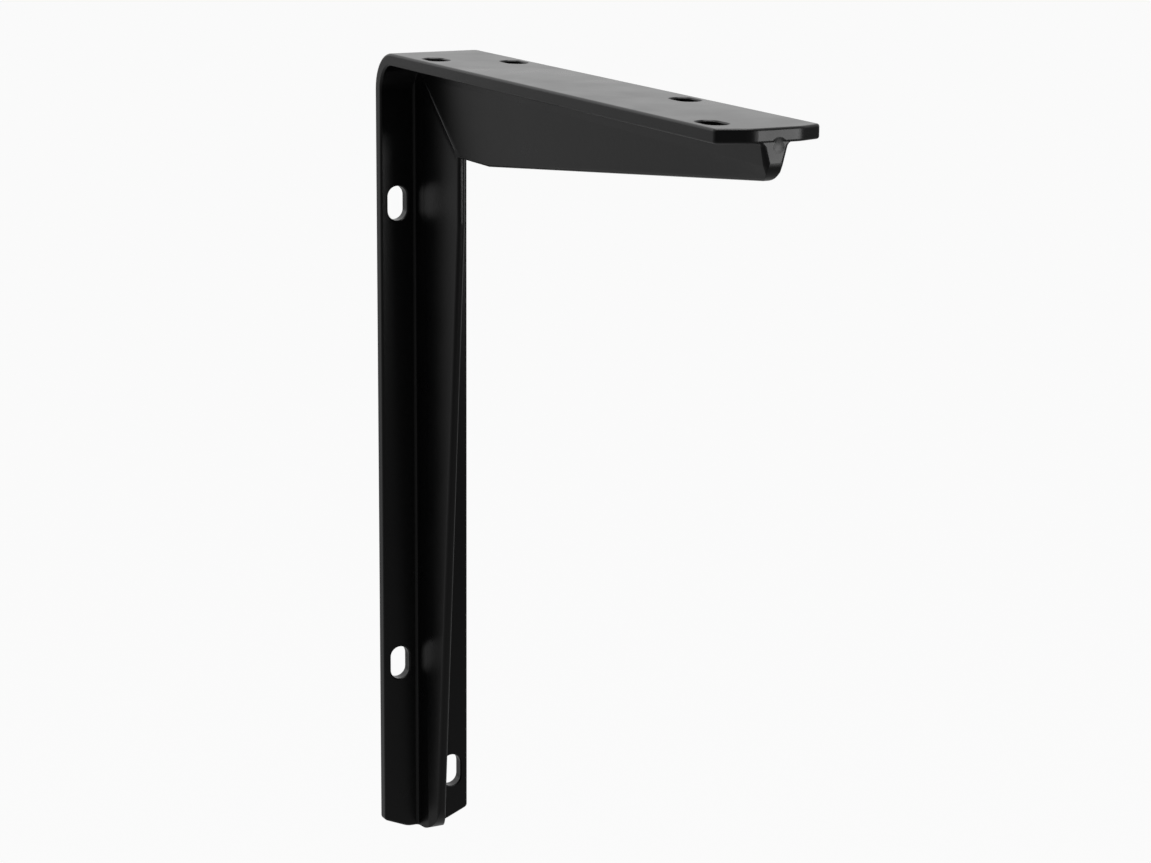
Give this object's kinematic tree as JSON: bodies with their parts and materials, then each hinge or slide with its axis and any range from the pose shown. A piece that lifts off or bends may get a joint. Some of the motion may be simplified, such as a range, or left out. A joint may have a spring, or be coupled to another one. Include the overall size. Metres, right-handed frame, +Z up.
{
  "type": "shelf bracket",
  "caption": "L-shaped shelf bracket in black coated steel: a T-section strip bent at the corner, with slots along both arms and a rib that tapers towards each end.",
  "frame": {"origin": "on the wall face, on its centre line, halfway up the upright arm", "axes": "+Z up; +Y into the wall; the shelf arm runs out along -Y with the shelf lying on its top face; X across the strip"},
  "size_m": [0.035, 0.25, 0.3],
  "materials": {
    "powder_coat": "satin"
  },
  "bodies": {
    "root": {"bracket": "powder_coat"}
  },
  "joints": []
}
